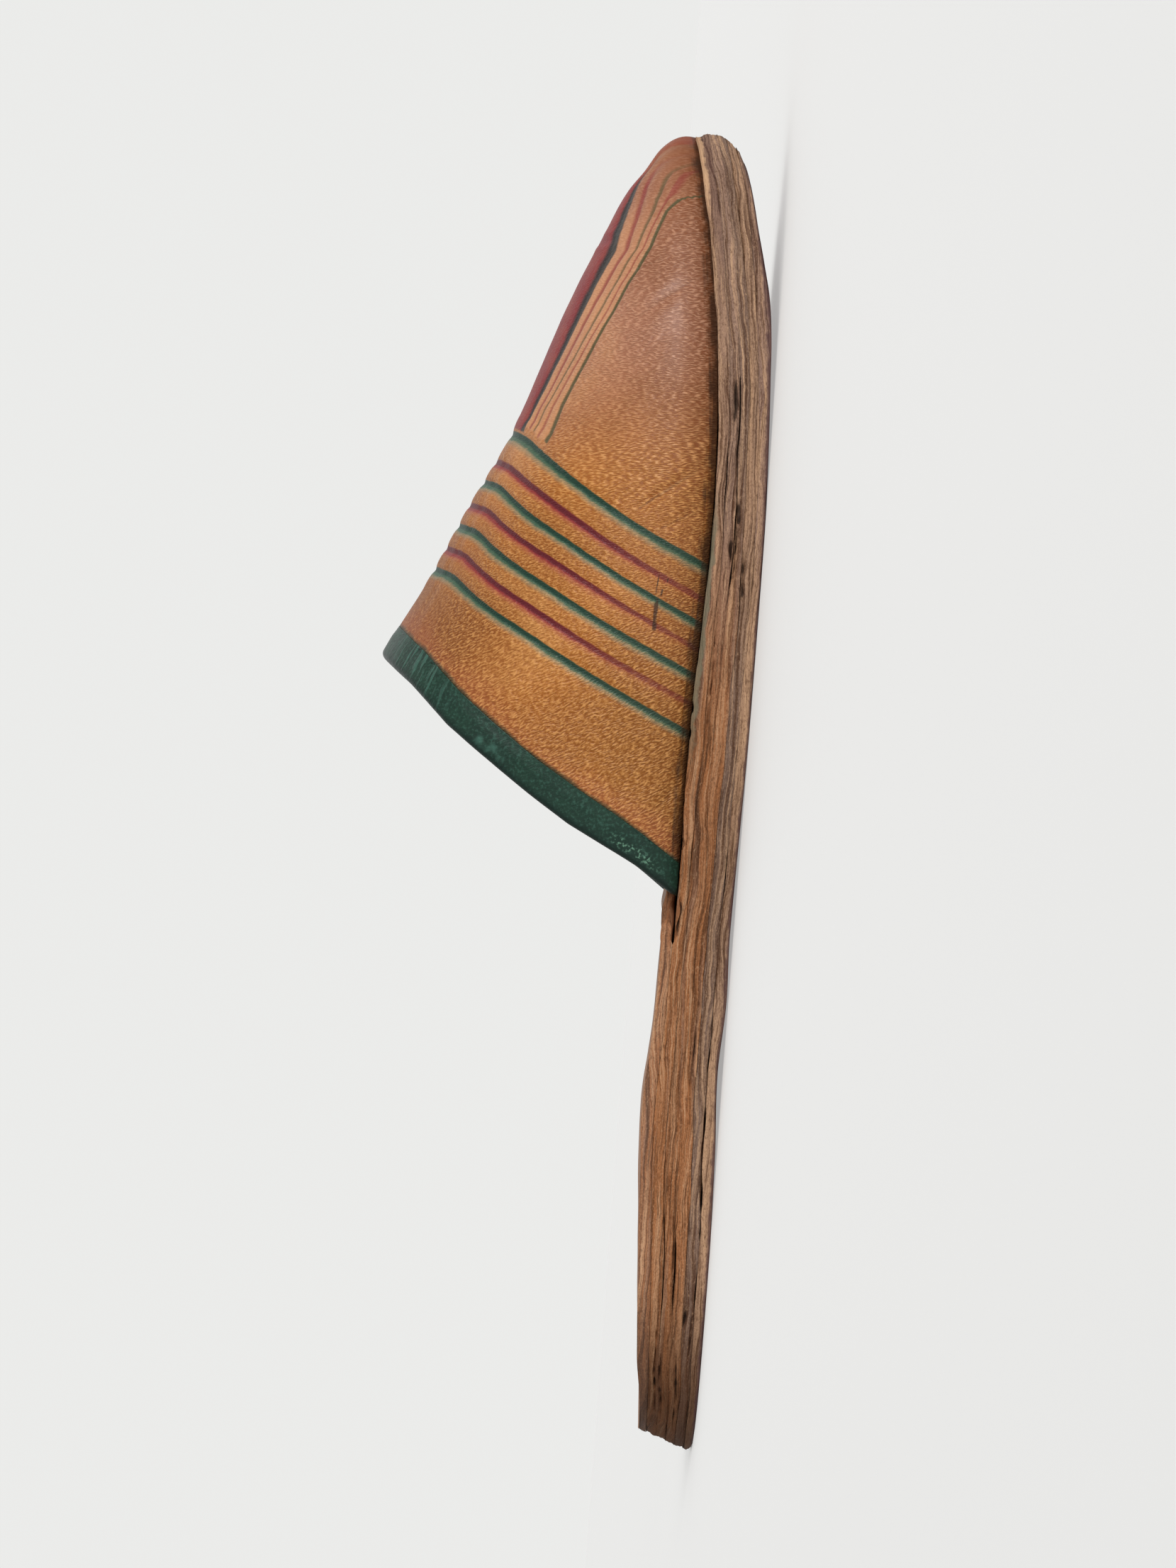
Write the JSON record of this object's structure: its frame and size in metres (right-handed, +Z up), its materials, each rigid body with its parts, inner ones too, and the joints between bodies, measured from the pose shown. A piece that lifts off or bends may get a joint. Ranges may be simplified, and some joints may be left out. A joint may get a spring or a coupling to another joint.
{
  "type": "leather mule slipper",
  "caption": "Flat backless leather slipper for the left foot, with a closed toe, a slanted collar bound in green leather and a sole of stacked leather plies.",
  "frame": {"origin": "on the floor, under the middle of the shoe's bounding box", "axes": "+X to the toe, +Y to the outer side of the left foot, +Z up"},
  "size_m": [0.27, 0.0948, 0.0755],
  "materials": {
    "outsole_leather": "worn, matt",
    "pale_ply_leather": "raw cut edge",
    "grey_ply_leather": "raw cut edge",
    "tan_ply_leather": "raw cut edge",
    "top_ply_leather": "raw cut edge",
    "insole_leather": "worn smooth",
    "upper_leather": "grained, painted lines, soft gloss",
    "binding_leather": "grained, soft gloss"
  },
  "bodies": {
    "root": {"outsole": "outsole_leather", "sole_ply_pale": "pale_ply_leather", "sole_ply_grey": "grey_ply_leather", "sole_ply_tan": "tan_ply_leather", "sole_ply_top": "top_ply_leather", "insole": "insole_leather", "upper": "upper_leather", "collar_binding": "binding_leather"}
  },
  "joints": []
}
